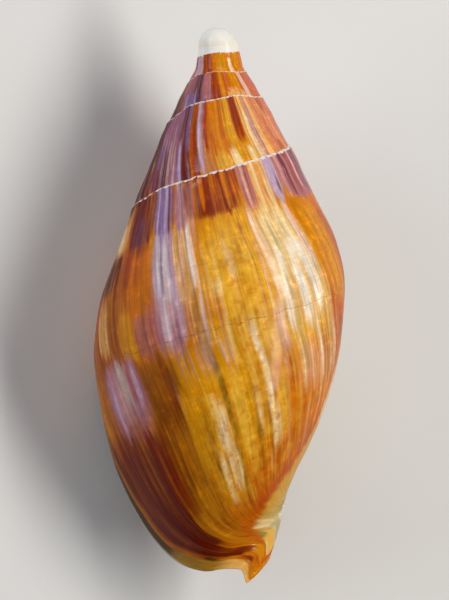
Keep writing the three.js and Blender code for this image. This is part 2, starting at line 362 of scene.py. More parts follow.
ROWS_LATE = wall_rows(
    [0, 0.004, 0.009, 0.016, 0.025, 0.036, 0.842, 0.847, 0.8515, 0.857, 0.862, 0.868, 0.875, 0.8825, 0.89,
     0.96, 0.98, 1],
    (0.05, 0.07, 0.01), (0.07, 0.115, 0.0065), (0.125, 0.30, 0.0155), (0.305, 0.35, 0.0075),
    (0.36, 0.66, 0.0165), (0.665, 0.86, 0.0105), (0.9, 0.96, 0.0125))
ROWS_MIDDLE = wall_rows(
    [0, 0.004, 0.01, 0.02, 0.838, 0.8515, 0.862, 0.875, 0.93, 0.96, 1],
    (0.035, 0.28, 0.0145), (0.31, 0.75, 0.04), (0.75, 0.9, 0.02))
ROWS_EARLY = wall_rows([0, 0.006, 0.015, 0.33, 0.42, 0.55, 0.7, 0.8, 0.88, 0.94, 1], (0.03, 0.28, 0.02))
ZONES = (  # from stage, to stage, columns a turn, rows, hollow
    (LIP_STAGE, -0.5, 640, ROWS_LATE, True),
    (-0.498, -0.95, 320, ROWS_LATE, True),
    (-0.947, -1.9, 300, ROWS_MIDDLE, True),
    (-1.897, -2.7, 220, ROWS_EARLY, True),
    (-2.697, -4.4, 160, ROWS_EARLY, False),
)
LIP_COLUMNS = (0, 0.0003, 0.001, 0.0022, 0.004)


def piece(kind, points, triangles, **values):
    full = {name: np.broadcast_to(np.asarray(value, float), len(points)) for name, value in values.items()}
    return kind, np.asarray(points, float), np.asarray(triangles, int), full


def zip_strips(upper, lower):
    """Triangles between two chains of ids, whose places are shares of the way, taken in step."""
    triangles = []
    i = j = 0
    while i < len(upper[0]) - 1 or j < len(lower[0]) - 1:
        take_upper = j == len(lower[0]) - 1 or (
            i < len(upper[0]) - 1 and upper[1][i + 1] <= lower[1][j + 1])
        if take_upper:
            triangles.append((upper[0][i], lower[0][j], upper[0][i + 1]))
            i += 1
        else:
            triangles.append((upper[0][i], lower[0][j], lower[0][j + 1]))
            j += 1
    return triangles


def grid_triangles(ids):
    """Triangles of a grid of ids, rows down and columns across, that face out of the shell."""
    a, b = ids[:-1, :-1].ravel(), ids[1:, :-1].ravel()
    c, d = ids[1:, 1:].ravel(), ids[:-1, 1:].ravel()
    return np.concatenate([np.stack([a, b, c], 1), np.stack([a, c, d], 1)])


def stretch(columns, rows, hollow):
    """One stretch of wall, closed all round, over its columns, which are growths."""
    places = np.arange(len(columns))
    first = places[:len(LIP_COLUMNS)] if columns[0] == LIP_STAGE else places[:1]
    kept = np.unique(np.concatenate([first, places[::INNER_EVERY], places[-1:]]))
    growth, share = np.meshgrid(columns, rows)
    outer, inner, turn, depth = wall_sections(growth, share, hollow)
    buried_outer, buried_inner = buried_sections(columns, hollow)
    outer = np.concatenate([buried_outer[None], outer])
    inner = np.concatenate([buried_inner[None], inner])[:, kept]
    outer_ids = np.arange(outer[..., 0].size).reshape(outer.shape[:2])
    inner_ids = outer_ids.size + np.arange(inner[..., 0].size).reshape(inner.shape[:2])
    triangles = [grid_triangles(outer_ids), grid_triangles(inner_ids)[:, ::-1]]
    for end, facing in ((0, 1), (-1, -1)):
        side = grid_triangles(np.stack([outer_ids[:, end], inner_ids[:, end]]))
        triangles.append(side[:, ::facing])
    triangles.append(zip_strips((inner_ids[0], kept), (outer_ids[0], places)))
    triangles.append(zip_strips((outer_ids[-1], places), (inner_ids[-1], kept)))
    values = {}
    for name, value in {"growth": growth, "share": share, "turn": turn, "depth": depth}.items():
        value = np.concatenate([value[:1], value])
        if name == "share":
            value[0] = BURIED_SHARE
        values[name] = np.concatenate([value.ravel(), value[:, kept].ravel()])
    points = np.concatenate([outer.reshape(-1, 3), inner.reshape(-1, 3)])
    inside = np.arange(len(points)) >= outer_ids.size
    return piece("wall", points, np.concatenate(triangles), inside=inside, **values)


def zone_stretches():
    made = []
    for start, end, columns, rows, hollow in ZONES:
        bounds = np.linspace(start, end, math.ceil((start - end) / STRETCH_TURNS) + 1)
        for first, last in zip(bounds[:-1], bounds[1:]):
            growths = np.linspace(first, last, max(2, round((first - last) * columns)) + 1)
            if first == LIP_STAGE:
                behind = growths[growths < first - LIP_COLUMNS[-1] - 0.001]
                growths = np.concatenate([first - np.array(LIP_COLUMNS), behind])
            made.append(stretch(growths, rows, hollow))
    return made


def lathe(kind, profile, sides):
    """A round piece on the coiling axis, from its depths and radii."""
    around = np.arange(sides) / sides
    angle = 2 * np.pi * around
    circle = np.stack([-np.cos(angle), 0 * angle, -np.sin(angle)], 1)
    points, turns, rings, triangles = [], [], [], []
    for depth, radius in profile:
        count = sides if radius else 1
        rings.append(len(points) + np.arange(sides) % count)
        points += list(place(0.5, depth, 0.0) + radius * circle[:count])
        turns += list(around[:count])
    for upper, lower in zip(rings[:-1], rings[1:]):
        for a, b, c, d in zip(upper, lower, np.roll(lower, -1), np.roll(upper, -1)):
            if b != c:
                triangles.append((a, c, b))
            if a != d:
                triangles.append((a, d, c))
    points = np.array(points)
    return piece(kind, points, triangles, growth=-1, share=0.5, turn=turns, depth=-points[:, 1])


def dome_profile():
    depths = np.concatenate([np.linspace(-2.62, -2.3, 9), np.linspace(-2.2, 0, 15), np.linspace(0.3, 12, 24)])
    return [*((depth, float(dome(depth))) for depth in depths), (DOME[-1][0], 0)]


def plait(outline_depth):
    """One fold round the columella, a tube that sinks into it towards its end."""
    share = np.linspace(0, 1, PLAIT_STEPS + 1)
    turn = PLAIT_START + (PLAIT_END - PLAIT_START) * share
    depth = outline_depth * np.exp(DEPTH_GROWTH * turn)
    sink = PLAIT_SINK + (PLAIT_END_SINK - PLAIT_SINK) * smoothstep(share, PLAIT_FADE, 1)
    path = place(turn, depth, plain_radius(turn, depth) - sink)
    along = np.gradient(path, axis=0)
    along /= np.linalg.norm(along, axis=1, keepdims=True)
    side = np.cross(along, (0, 1, 0))
    side /= np.linalg.norm(side, axis=1, keepdims=True)
    angle = 2 * np.pi * np.arange(PLAIT_SIDES)[:, None] / PLAIT_SIDES
    ring = side[:, None] * np.cos(angle) + np.cross(side, along)[:, None] * np.sin(angle)
    points = (path[:, None] + PLAIT_RADIUS * ring).reshape(-1, 3)
    ids = np.arange(len(points)).reshape(PLAIT_STEPS + 1, PLAIT_SIDES)
    triangles = [grid_triangles(np.concatenate([ids, ids[:, :1]], 1))]
    for end, facing in ((0, 1), (-1, -1)):
        fan = [(ids[end, 0], ids[end, i], ids[end, i + 1]) for i in range(1, PLAIT_SIDES - 1)]
        triangles.append(np.array(fan)[:, ::facing])
    turn, depth = np.repeat(turn, PLAIT_SIDES), np.repeat(depth, PLAIT_SIDES)
    return piece("pillar", points, np.concatenate(triangles), growth=turn, share=0.8, turn=turn, depth=depth)


def facing_out(triangles, points):
    """The triangles of a closed piece, turned over if they face into it."""
    a, b, c = (points[triangles[:, i]] for i in range(3))
    return triangles[:, ::-1] if np.sum(a * np.cross(b, c)) < 0 else triangles


# Colours of the shell, as seen under a neutral light, red, green and blue from 0 to 255

PALETTE = {
    "amber": (188, 112, 4), "gold": (204, 138, 8), "yellow": (216, 164, 52), "olive": (132, 90, 10),
    "orange": (196, 104, 0), "ember": (172, 70, 0), "rust": (148, 48, 6), "brown": (116, 52, 4),
    "brick": (108, 26, 2), "maroon": (84, 12, 0), "dark": (40, 8, 4), "moss": (50, 36, 6),
    "plum": (52, 18, 32), "purple": (92, 48, 74), "violet": (120, 98, 144), "lilac": (180, 156, 180),
    "mauve": (156, 98, 116), "rose": (190, 96, 74), "salmon": (210, 134, 94), "peach": (226, 170, 100),
    "pink": (222, 180, 164), "cream": (228, 202, 150), "white": (232, 222, 208), "ivory": (224, 222, 214),
    "sage": (132, 124, 70), "grey": (176, 174, 150), "tan": (196, 146, 86),
}

# Markings are rows of colour, two stages, two shares and strength, and later ones lie on top. They are
# written in thousandths, their stages as turns before turn 0, and their strength in hundredths.


def rows_of(text):
    """The words of each row of a table, whose rows end at commas and line ends. A # starts a heading."""
    lines = [line for line in text.splitlines() if not line.startswith("#")]
    return [row.split() for row in ",".join(lines).split(",") if row.strip()]


def place_of(*words):
    first, last, top, bottom = (float(word) / 1000 for word in words)
    return (-first, -last), (top, bottom)


def markings(text):
    return [(row[0], *place_of(*row[1:5]), int(row[5]) / 100) for row in rows_of(text)]


def streaks(text):
    """Markings made up from rows of seed, stages, shares, count, widest, strongest and colours."""
    layers = []
    for seed, first, last, top, bottom, count, widest, strongest, *colours in rows_of(text):
        chance = np.random.default_rng(int(seed))
        (first, last), (top, bottom) = place_of(first, last, top, bottom)
        for _ in range(int(count)):
            start = chance.uniform(last, first)
            width = float(widest) / 1000 * chance.uniform(0.2, 1) ** 2
            high = chance.uniform(top, bottom - 0.03)
            low = min(high + chance.uniform(0.05, 0.25), bottom)
            colour = colours[int(chance.integers(len(colours)))]
            strength = int(strongest) / 100 * chance.uniform(0.4, 1)
            layers.append((colour, (start, start - width), (high, low), strength))
    return layers


# Broad grounds of the body whorl. Its orange and ember rows at the far right, from 345 to 500, and its orange
# row low on the right, from 200 to 350, are painted shade: deeper colour where less light falls. Its last
# cream and lilac rows are partly the shell's own colour and partly a painted reflection of the side window
# lights.
GROUNDS = markings("""
amber -300 1200 0 1000 100, gold 150 350 80 660 95, gold 80 150 360 660 70, ember -60 120 90 360 50,
brown -60 60 170 470 50, brown 45 105 340 500 75, orange 200 350 400 700 80, ember 140 335 580 740 70,
orange 345 500 80 620 100, ember 355 430 180 420 60, yellow 185 345 110 400 50, brick -100 50 450 760 85,
maroon -85 30 490 755 70, brick 20 60 470 660 60, brown 45 100 430 740 60, gold 100 215 420 620 25,
moss -120 -66 400 720 80, cream 272 343 90 360 75, cream 115 145 100 240 40, lilac 112 145 100 340 65
""")

# Markings of the body whorl below the dark band, read off the back from left to right
# Cream patch right of the middle, with its white streaks, which are partly the shell's own and partly a
# painted reflection of the right window light
# Lilac patch on the lower left, partly the shell's own colour and partly a painted reflection of the left
# window light
# Lilac streaks left of the middle, partly the shell's own streaks and partly a painted reflection of the left
# window light
MARKINGS = markings("""
# Upper left
tan -30 45 50 125 70, cream 0 30 60 120 70, plum -40 45 115 195 90, brick 30 70 120 210 60,
tan -12 20 205 310 80, brown 16 38 205 315 80, rust 45 100 100 190 45, orange 72 78 120 300 50,
orange 90 112 130 220 40, gold 37 68 240 340 55, brick 22 30 250 340 50, mauve 66 112 250 340 50,
purple 80 86 250 330 40
# Lilac streaks left of the middle
lilac 114 147 80 240 70, violet 126 128.5 100 230 50, plum 126.5 128 130 240 50, plum 118 119.2 100 220 50,
white 120 123.5 90 230 70, white 130 137 120 240 65, mauve 140.5 146 90 240 50, lilac 114.5 119 220 340 85,
white 115.5 117.5 240 330 50, mauve 119 133 235 345 70, rust 122 131 240 350 40, lilac 133 142 220 330 80,
peach 146 168 100 260 70, olive 154 156.5 100 240 60, olive 160 162 120 260 50, plum 166.5 168.3 100 300 70,
white 168.3 173.5 90 230 90, pink 158 162.5 250 360 85, pink 172.5 176 90 220 60, mauve 179 183 85 130 50,
olive 146 152 270 360 50
# Middle
yellow 190 205 140 260 40, cream 187 200 220 260 50, cream 216 226 150 240 45, orange 165 190 250 310 50,
olive 185 192 300 380 45, yellow 189 191.5 280 380 60, cream 202 213 310 500 65, white 206 211 330 420 50,
cream 172 177 340 400 45, olive 180 190 380 480 40, gold 158 170 360 460 60, peach 223.5 227.5 280 400 70,
ember 248 254 115 160 55, yellow 212 220 250 340 40, pink 259 263.5 160 260 50, rose 238 242 240 330 50,
pink 243 256 300 410 60, pink 236 239.5 360 470 60, mauve 244 249 340 420 40, peach 231 234.5 400 500 60
# Cream patch right of the middle, with its white streaks
pink 268 278 90 300 50, sage 281 283.5 100 220 40, sage 293 296.5 100 220 45, sage 315 319 100 190 40,
pink 277 280 90 220 50, white 270 273.5 100 270 70, white 282 293 180 250 60, white 266.5 275.5 240 360 90,
white 262.5 268 300 360 60, peach 274 279.5 260 350 60, white 291 306 220 355 85, gold 285 290.5 240 360 70,
white 305 335 170 220 70, cream 305.5 310 220 350 70, gold 308.5 314.5 250 360 70,
white 317 331.5 210 330 90, olive 314.5 317 220 300 40, plum 333.5 335.5 110 180 45, pink 337 349 90 240 80,
white 339 343 200 280 60, peach 334 341 240 360 80, peach 328 334 360 500 80, peach 320 324 400 530 50,
cream 302 306.5 340 470 75, salmon 277 297 400 520 55, peach 280 284 370 500 55, cream 262 266 420 520 50,
peach 252 256 430 530 55
# Right
ember 352 390 260 370 60, rose 348 380 360 460 30, gold 360 420 100 340 60, rust 410 450 120 340 40,
brown 310 410 370 520 30, yellow 385 392 120 280 40
# Lilac patch on the lower left
lilac -22 48 335 445 50, mauve -30 55 325 475 45, lilac -14 -4 380 475 40, grey 10 27 330 420 50,
pink 2 8 350 460 35, rust 28 36 340 420 50, lilac 37 46 335 425 45, brown 18 21.5 370 460 35,
rust 0 3 360 460 30, mauve 34 52 325 362 30, gold 54 64 300 345 60
# Lower half
gold 85 100 420 600 75, olive 102 116 450 640 50, brown 104 112 500 620 60, cream 119 138 460 580 70,
white 126 130 500 570 40, olive 121.5 124 460 550 60, olive 138.5 146.5 300 720 80, cream 108 118 575 665 65,
cream 120 138 570 660 65, olive 118 121 570 650 60, yellow 123 127 440 520 60, cream 100 112 655 685 50,
olive 171 181 520 600 70, cream 180 187 460 550 60, cream 197 212 510 605 80, olive 191 196 500 630 70,
cream 199 207 420 550 80, brown 202 210 595 660 40, yellow 150 167 420 600 65, yellow 212 228 450 600 60,
ember 270 310 540 660 50, rust 255 262 460 620 45, tan 225 231 480 620 50, peach 185 189 620 660 50,
cream 296 300 460 560 40, rust 60 160 680 750 40, gold 10 40 660 730 40, gold 50 75 610 700 40,
yellow 28 31 660 745 50, yellow 52 55 660 740 45
""")

# The dark band under the suture of the body whorl. Its first plum row, along the suture down to share 45, is
# painted shade under the suture's ledge. Its lilac, violet and mauve rows from 108 to 176, and its pink,
# peach, cream and lilac rows from 272 to 357, are partly the band's own colour and partly a painted
# reflection of the side window lights.
BAND = markings("""
plum -200 50 0 45 95, brick 45 112 0 125 95, maroon 52 80 0 90 70, purple 62 100 60 120 50,
mauve 108 150 0 105 90, violet 112 146 0 105 60, plum 108 113 0 70 60, lilac 117.5 121.5 0 120 60,
violet 123 130 0 120 60, lilac 132 138 0 120 75, plum 139.5 142.5 0 100 75, rust 149 154 0 50 50,
lilac 157 163 0 110 60, mauve 150 176 20 105 60, plum 163.5 166.5 0 110 60, rust 172 272 0 90 95,
brick 175 268 55 92 60, brick 170 198 0 92 60, ember 183 189 0 80 80, orange 199 206 0 75 80,
ember 220 230 0 70 80, gold 223.5 226.5 0 50 60, orange 242.5 249 0 80 80, orange 258 263 20 90 60,
maroon 178.5 181.5 0 90 70, maroon 190 195.5 0 85 60, maroon 210 216.5 0 85 60, maroon 234 240 0 80 60,
maroon 251.5 255.5 0 80 50, mauve 272 297 0 95 60, pink 280 285 0 90 60, rust 288.5 291.5 0 80 50,
peach 297 332 0 95 85, cream 303 309 0 100 70, orange 314 319 0 80 50, cream 323 330 30 100 60,
lilac 331 357 0 90 90, purple 347.5 353 45 75 80, mauve 357 520 0 100 85, brick 378 392 0 90 60,
pink 366 373 0 90 60, rust 400 414 0 90 60, pink 418 424 0 80 60, purple 430 460 0 90 50
""")

# The spire: its whorls one turn, two turns and three turns back. The lilac, violet and mauve left of the
# middle of the first two whorls are partly their own colour and partly a painted reflection of the left
# window light.
SPIRE = markings("""
# First whorl above the body whorl
plum 930 1050 0 300 95, purple 1044 1150 0 300 90, violet 1052 1075 50 160 60, mauve 1055 1120 0 100 60,
rust 1025 1035 130 240 60, tan 1030 1037 120 160 60, brick 1064 1072 110 260 75, maroon 1079 1088 110 260 70,
lilac 1071 1077 120 260 50, pink 1090 1095 80 250 60, mauve 1095 1120 70 250 60, pink 1105 1110 100 250 60,
lilac 1119 1127 90 250 90, brick 1127 1150 90 250 85, maroon 1131 1136 0 250 70, violet 1136 1152 0 120 60,
rust 1150 1172 0 250 90, ember 1152.5 1157 50 250 70, maroon 1163 1168 30 220 70, lilac 1171 1181 0 200 85,
mauve 1181.5 1187.5 0 200 80, rust 1187.5 1200 0 140 90, orange 1199 1246 0 250 90, rust 1208 1214 80 200 60,
rust 1232.5 1242.5 0 120 55, gold 1225 1232 0 200 60, gold 1246 1274 0 240 95, yellow 1262 1267 0 120 60,
brown 1250 1253.5 0 150 40, rust 1272 1299 0 125 95, brick 1277 1293 0 110 60, gold 1275 1305 120 250 80,
cream 1242 1262 145 250 75, cream 1285 1300 140 250 70, yellow 1205 1242 150 250 75,
peach 1300 1360 0 240 90, cream 1309 1325 30 240 80, brown 1305 1308 0 200 50, mauve 1322 1337 0 210 75,
pink 1327 1331 0 200 50, salmon 1350 1470 0 240 90, rose 1375 1390 50 140 50, ember 1380 1410 140 190 60,
rust 1395 1420 0 45 60, rose 1420 1600 0 240 70
# Second whorl
plum 1930 2045 0 300 90, purple 2040 2180 0 300 85, mauve 2050 2110 0 90 55, violet 2075 2132 70 200 70,
lilac 2083 2090 80 200 50, lilac 2125 2133 50 200 50, plum 2142.5 2148 0 200 70, mauve 2153 2202 0 200 75,
plum 2155 2159 0 200 50, rose 2170 2180 0 100 50, rust 2200 2236 0 200 95, brick 2207 2213 0 200 50,
orange 2235 2345 0 200 95, rust 2260 2268 0 150 50, gold 2243 2255 0 200 60, ember 2275 2290 0 70 50,
gold 2300 2340 0 80 60, peach 2265 2345 85 200 80, pink 2347 2372 0 200 90, rose 2372 2550 0 200 85
# Third whorl
mauve 2930 3100 0 300 90, rust 3030 3060 0 300 70, lilac 3060 3120 0 300 70, rust 3120 3200 0 300 90,
orange 3190 3500 0 300 95, gold 3220 3250 0 300 60, gold 3250 3300 0 300 60, cream 3300 3330 20 300 80,
gold 3350 3400 0 300 60, orange 3500 4400 0 300 90
""")

# Fine streaks made up in the shell's own manner, over the whole shell and alone on the sides that the
# back view doesn't show
FINE_MARKINGS = streaks("""
41 -90 110 120 340 70 3 50 rust gold brown plum orange
42 -60 100 330 460 40 3 35 mauve brown rust plum
43 -100 70 450 780 90 3 25 rust rust brick ember maroon
44 50 200 420 700 100 3 40 gold olive yellow ember brown
45 110 190 80 400 70 2.2 50 lilac white plum olive rust
46 180 270 100 500 110 3 40 yellow olive cream orange brown
47 260 350 90 500 110 2.5 50 cream white pink sage gold
48 340 500 90 500 90 4 40 gold ember gold peach rust
49 190 400 420 680 110 3 45 gold orange cream rust yellow
52 460 1000 100 600 160 12 70 gold cream ember olive rust
""")
FINE_BAND = streaks("""
50 -30 180 -50 100 60 2.5 60 plum lilac maroon purple rust
51 170 280 -50 90 60 2.5 60 orange brick rust gold
53 270 500 -50 90 60 3 50 pink purple orange lilac rust
54 460 1000 -50 100 80 12 80 purple rust mauve orange lilac
55 1000 1200 -100 270 80 4 50 plum lilac rust violet pink
56 1180 1470 -100 270 80 4 50 gold rust cream brick orange
57 1460 1970 -100 260 80 16 80 purple rust mauve gold orange
58 2000 2470 -100 240 90 6 50 plum rust gold mauve orange
59 2450 2970 -100 240 60 20 80 purple rust rose gold orange
60 3000 3470 -100 240 40 10 35 rust gold cream orange
""")
UNSEEN_GROUNDS = markings("""
ember 470 1100 0 700 80, rust 500 1000 0 100 90, rust 1450 1950 0 300 80, rust 2430 2950 0 300 80
""")

WHITE_WHORL = (-3.49, -3.46)  # the first whorl is as white as the dome up to here
PAINT_SEED = 40
# How soft the markings' edges are, in turns and as a share, and how ragged their ends
GROUND_SOFT = (0.012, 0.035, 0.02)
MARK_SOFT = (0.0026, 0.026, 0.014)
BAND_SOFT = (0.0018, 0.009, 0.008)
FINE_SOFT = (0.003, 0.006, 0.004)
WANDER_TURNS = 0.0016
TAPER = 0.93
DRYNESS = 0.6


def linear(colour):
    value = np.array(PALETTE[colour], float) / 255
    return np.where(value <= 0.04045, value / 12.92, ((value + 0.055) / 1.055) ** 2.4)


def plain_paint(colour, values):
    """One colour for as many spots as there are values."""
    return np.tile(linear(colour), (len(values), 1))


def over(paint, *coats):
    """Lays colours over the paint, each with its cover."""
    for colour, cover in coats:
        cover = np.clip(cover, 0, 1)[:, None]
        paint = paint * (1 - cover) + linear(colour) * cover
    return paint


def lay(paint, layer, growth, share, soft):
    """Lays one marking over the paint, in place. Its ends taper, and its edges wander into streaks."""
    colour, (first, last), (top, bottom), strength = layer
    soft_turns, soft_share, ragged = soft
    middle_share = (max(top, 0) + bottom) / 2
    top = -bottom if top == 0 else top
    middle = (first + last) / 2
    middle -= growth_drift(middle_share) * drift_strength(middle)
    half_turns, half_share = abs(first - last) / 2, (bottom - top) / 2
    reach = half_turns + 2 * soft_turns + 2 * WANDER_TURNS
    near = np.flatnonzero((np.abs(growth - middle) < reach)
                          & (share > top - soft_share - ragged) & (share < bottom + soft_share + ragged))
    if not len(near):
        return
    at, down = growth[near], share[near]
    dry = 0.5 * smooth_noise(PAINT_SEED + 3, at * 330, down * 9)
    dry += 0.5 * smooth_noise(PAINT_SEED + 4, at * 150, down * 7)
    wander = WANDER_TURNS * smooth_noise(PAINT_SEED, at * 9, down * 14)
    edge = 0.6 * smooth_noise(PAINT_SEED + 1, at * 170, down * 3)
    edge += 0.4 * smooth_noise(PAINT_SEED + 2, at * 420)
    away = np.abs(down + ragged * edge - (top + bottom) / 2) / half_share
    width = half_turns * np.sqrt(np.clip(1 - (away * TAPER) ** 4, 0, 1))
    across = smoothstep(width + soft_turns - np.abs(at + wander - middle), 0, 2 * soft_turns)
    along = 1 - smoothstep(away, 1 - soft_share / half_share, 1 + soft_share / half_share)
    paint[near] = over(paint[near], (colour, strength * (across * along) * (1 + DRYNESS * dry)))


def shell_paint(growth, share):
    paint = plain_paint("amber", growth)
    for layer in (*GROUNDS, *UNSEEN_GROUNDS):
        lay(paint, layer, growth, share, GROUND_SOFT)
    for layer in (*MARKINGS, *FINE_MARKINGS):
        lay(paint, layer, growth, share, MARK_SOFT)
    for layer in (*BAND, *SPIRE, *FINE_BAND):
        lay(paint, layer, growth, share, BAND_SOFT)
    return paint


# The fasciole's cream band and the callus, as stage and share of their upper edges
FASCIOLE_EDGE = smooth_curve((
    (-1.3, 0.6), (-1, 0.45), (-0.93, 0.26), (-0.88, 0.205), (-0.75, 0.24), (-0.6, 0.29), (-0.5, 0.35),
    (-0.42, 0.42), (-0.37, 0.475), (-0.345, 0.525), (-0.325, 0.58), (-0.3, 0.628), (-0.25, 0.67),
    (-0.2, 0.70), (-0.128, 0.727), (-0.087, 0.742), (-0.041, 0.763), (0.009, 0.808), (0.04, 0.85),
    (0.08, 0.9), (0.12, 0.92),
))
CALLUS_EDGE = smooth_curve((
    (-1.3, 0.6), (-1, 0.45), (-0.93, 0.28), (-0.88, 0.22), (-0.75, 0.26), (-0.6, 0.33), (-0.5, 0.43),
    (-0.43, 0.54), (-0.39, 0.64), (-0.33, 0.745), (-0.23, 0.80), (-0.1, 0.845), (0, 0.88), (0.12, 0.92),
))
FASCIOLE = markings("""
cream -30 600 0 1000 60, yellow -30 340 600 900 80, sage 0 340 600 800 45, gold 80 320 600 745 50,
grey 30 240 775 860 55, sage 60 120 800 860 50, cream 55 100 745 785 70, sage 12 50 772 800 90,
moss 10 34 775 792 85, white 80 190 788 820 60, cream 0 20 800 860 60, moss 100 165 770 780 50
""")
FRONT = markings("""
orange -85 4 765 900 85, gold -50 0 795 835 70, gold -90 -50 835 880 50, brick -64 -30 695 785 75,
maroon -56 -36 700 790 70, brick -46 -14 758 800 85, maroon -40 -22 765 790 60, brick -78 -56 785 818 85,
rust -56 -36 820 835 50, rust -40 -10 842 880 50, orange -20 15 735 775 60
""")
MARGIN_TURNS = smooth_curve((
    (0.3, 0.003), (0.42, 0.012), (0.5, 0.024), (0.6, 0.038), (0.7, 0.044), (0.76, 0.055), (0.79, 0.042),
    (0.84, 0.022), (0.87, 0.004),
))
RIM_TURNS = smooth_curve((
    (0.2, 0.003), (0.45, 0.005), (0.6, 0.013), (0.68, 0.013), (0.74, 0.005), (0.9, 0.004),
))
GREEN_SPOT = ("moss", (0.071, 0.057), (0.728, 0.752), 0.85)
EDGE_LINE_SHARE = 0.012
BAND_GLAZE = 0.6
CALLUS_SOFT = 0.018
LIP_RIM_TURNS = 0.005
APERTURE_DEPTH_TURNS = 0.35


def fasciole_paint(paint, growth, stage, share):
    """Paints the band and the fold at its end. Gives how far each spot is on the band as well."""
    edge = FASCIOLE_EDGE(stage) + 0.004 * smooth_noise(PAINT_SEED + 9, stage * 60)
    below = smoothstep(share, edge - 0.003, edge + 0.007)
    line = np.exp(-((share - edge + EDGE_LINE_SHARE) / EDGE_LINE_SHARE) ** 2)
    paint = over(paint, ("ember", 0.7 * line * smoothstep(stage, -0.36, -0.3)))
    band = paint.copy()
    for layer in FASCIOLE:
        lay(band, layer, growth, share, BAND_SOFT)
    paint = paint * (1 - below[:, None]) + band * below[:, None]
    for layer in FRONT:
        lay(paint, layer, growth, share, FINE_SOFT)
    return paint, below


def callus_cover(stage, share):
    edge = CALLUS_EDGE(stage) + 0.008 * smooth_noise(PAINT_SEED + 10, stage * 30)
    return smoothstep(share, edge - CALLUS_SOFT, edge + CALLUS_SOFT) * smoothstep(-stage, -0.1, -0.03)


def margin_paint(paint, growth, share):
    """The last of the growth along the lip: a dark olive margin, pale towards the front, and its rim."""
    back = LIP_STAGE - growth
    width = MARGIN_TURNS(share) * (1 + 0.15 * smooth_noise(PAINT_SEED + 14, share * 30))
    line = np.exp(-((back - width * 1.12) / 0.008) ** 2) * smoothstep(share, 0.4, 0.5)
    cover = 1 - smoothstep(back, width * 0.8, width * 1.1)
    cover = cover * smoothstep(share, 0.28, 0.4) * (1 - smoothstep(share, 0.855, 0.87))
    pale, peach = smoothstep(share, 0.67, 0.71), smoothstep(share, 0.755, 0.785)
    clouds = smooth_noise(PAINT_SEED + 15, growth * 160, share * 60)
    paint = over(
        paint,
        ("orange", 0.6 * line * (1 - smoothstep(share, 0.80, 0.83))),
        ("moss", 0.8 * cover * (1 - pale)),
        ("yellow", 0.75 * cover * pale),
        ("olive", cover * pale * (0.72 + 0.25 * clouds) * (1 - peach)),
        ("peach", cover * peach * (0.7 + 0.2 * clouds)),
    )
    lay(paint, GREEN_SPOT, growth, share, FINE_SOFT)
    rim = RIM_TURNS(share)
    return over(paint, ("grey", 0.7 * (1 - smoothstep(back, rim * 0.5, rim))))


def outer_paint(growth, share):
    stage = stage_of(growth, np.clip(share, 0, 1))
    paint, band = fasciole_paint(shell_paint(growth, share), growth, stage, share)
    callus = callus_cover(stage, share)
    clouds = smooth_noise(PAINT_SEED + 11, stage * 14, share * 9)
    paint = over(paint, ("cream", 0.85 * callus), ("peach", callus * (0.45 + 0.35 * clouds)),
                 ("orange", 0.35 * callus * smoothstep(-stage, 0.35, 0.9)))
    return margin_paint(paint, growth, share), np.maximum(callus, BAND_GLAZE * band)


def inner_paint(growth, share):
    deep = smoothstep(LIP_STAGE - growth, 0.02, APERTURE_DEPTH_TURNS)
    veins = smooth_noise(PAINT_SEED + 12, growth * 120, share * 5)
    return over(
        plain_paint("peach", growth),
        ("salmon", 0.35 + 0.2 * veins),
        ("cream", 0.75 * deep),
        ("orange", 0.35 * (1 - deep) * smoothstep(share, 0.3, 0.8)),
        ("brown", 0.6 * smoothstep(growth, LIP_STAGE - 0.03, LIP_STAGE - 0.012)),
        ("grey", 0.85 * smoothstep(growth, LIP_STAGE - LIP_RIM_TURNS, LIP_STAGE - LIP_RIM_TURNS * 0.4)),
    )


def dome_paint(turn, depth):
    # Ivory, creamier away from the apex, with tan round the dome's lower edge as a painted shadow
    low = smoothstep(depth, 3.6, 5.2) + 0.3 * smooth_noise(PAINT_SEED + 13, turn * 12, depth)
    high = 0.35 * smoothstep(depth, -0.5, 3.5)
    return over(plain_paint("ivory", turn), ("cream", high), ("tan", 0.5 * low))


def coloured(made):
    """The piece facing out, with paint and glaze."""
    kind, points, triangles, values = made
    growth, share, turn = values["growth"], values["share"], values["turn"]
    glaze = np.ones(len(points))
    if kind == "dome":
        paint = dome_paint(turn, values["depth"])
    elif kind == "pillar":
        paint = over(plain_paint("cream", growth), ("peach", 0.4 * glaze))
    else:
        outside, callus = outer_paint(growth, even_share(turn, share))
        early = 1 - smoothstep(growth, *WHITE_WHORL)
        inside = values["inside"] > 0
        paint = np.where(inside[:, None], inner_paint(growth, share), over(outside, ("ivory", early)))
        glaze = np.where(inside, 1, np.maximum(early, callus))
    looks = {"paint": paint, "growth": growth, "share": share, "glaze": glaze}
    return points, facing_out(triangles, points), looks


# Blender objects

def added(name, data):
    """A new object in the scene."""
    made = bpy.data.objects.new(name, data)
    bpy.context.scene.collection.objects.link(made)
    return made


def mesh_object(name, points, triangles, looks):
    mesh = bpy.data.meshes.new(name)
    mesh.from_pydata(points.tolist(), [], triangles.tolist())
    corners = np.zeros(len(mesh.loops), int)
    mesh.loops.foreach_get("vertex_index", corners)
    for title, value in looks.items():
        if title == "paint":
            layer = mesh.color_attributes.new(title, "FLOAT_COLOR", "CORNER")
            full = np.concatenate([value, np.ones((len(value), 1))], 1)
            layer.data.foreach_set("color", full[corners].astype(np.float32).ravel())
        else:
            layer = mesh.attributes.new(title, "FLOAT", "CORNER")
            layer.data.foreach_set("value", value[corners].astype(np.float32))
    return added(name, mesh)


